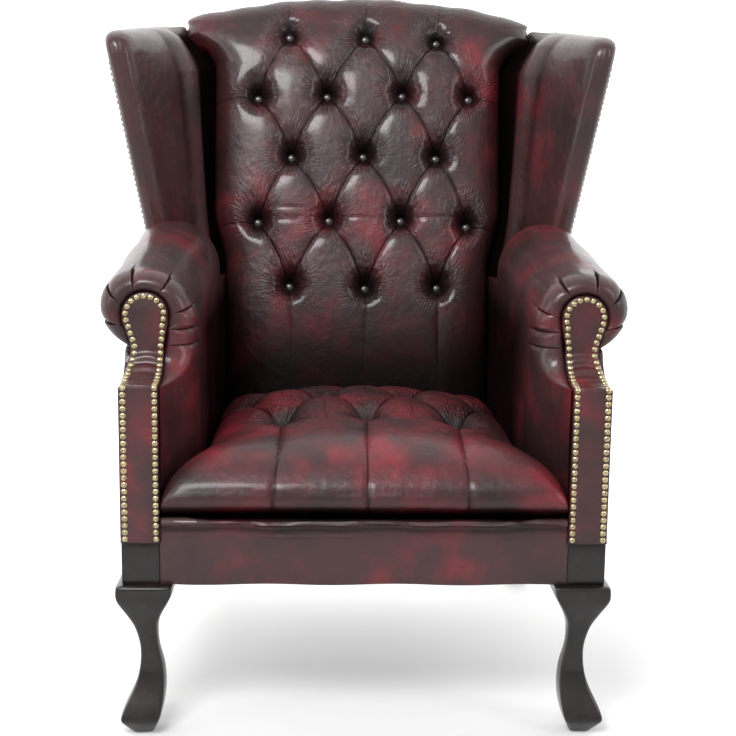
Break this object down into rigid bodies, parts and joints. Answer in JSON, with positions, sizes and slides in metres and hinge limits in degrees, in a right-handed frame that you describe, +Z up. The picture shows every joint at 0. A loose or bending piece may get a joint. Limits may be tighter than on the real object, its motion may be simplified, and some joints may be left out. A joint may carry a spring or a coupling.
{
  "type": "wing armchair",
  "caption": "Deep-buttoned leather wing armchair with rolled arms, nailed front facings, tufted fixed seat, plain front border and short cabriole front legs.",
  "frame": {"origin": "middle of the footprint on the floor, under the middle of the overall width and depth", "axes": "+Z up, -Y towards the front of the seat, +X to the viewer's right when facing the chair"},
  "size_m": [0.85, 0.7942, 1.1033],
  "materials": {
    "leather": "antiqued oxblood leather, glossy, dark in the creases",
    "leather_button": "dark oxblood leather over a button mould",
    "brass_nail": "aged brass, domed heads",
    "black_wood": "black satin lacquer on turned hardwood",
    "post_wood": "hardwood, stained dark below the rail",
    "frame_wood": "sawn beech, unfinished",
    "foam": "upholstery foam",
    "steel": "plain spring and screw steel",
    "canvas": "undyed canvas and jute webbing",
    "black_cloth": "thin black dust cloth"
  },
  "bodies": {
    "root": {"front_leg_left": "black_wood", "front_leg_right": "black_wood", "rear_post_left": "post_wood", "rear_post_right": "post_wood", "glides": "steel", "front_rail": "frame_wood", "rear_rail": "frame_wood", "side_rail_left": "frame_wood", "side_rail_right": "frame_wood", "corner_blocks": "frame_wood", "corner_screws": "steel", "arm_post_left": "frame_wood", "arm_post_right": "frame_wood", "arm_rail_left": "frame_wood", "arm_rail_right": "frame_wood", "wing_frame_left": "frame_wood", "wing_frame_right": "frame_wood", "back_top_rail": "frame_wood", "back_lower_rail": "frame_wood", "back_webbing": "canvas", "seat_springs": "steel", "spring_clips": "steel", "seat_deck": "canvas", "seat_foam": "foam", "seat_cover": "leather", "seat_buttons": "leather_button", "back_foam": "foam", "back_cover": "leather", "back_buttons": "leather_button", "arm_foam_left": "foam", "arm_foam_right": "foam", "arm_cover_left": "leather", "arm_cover_right": "leather", "arm_facing_left": "leather", "arm_facing_right": "leather", "arm_nails_left": "brass_nail", "arm_nails_right": "brass_nail", "wing_cover_left": "leather", "wing_cover_right": "leather", "wing_nails_left": "brass_nail", "wing_nails_right": "brass_nail", "outside_arm_left": "leather", "outside_arm_right": "leather", "outside_back": "leather", "front_border": "leather", "dust_cover": "black_cloth"}
  },
  "joints": []
}
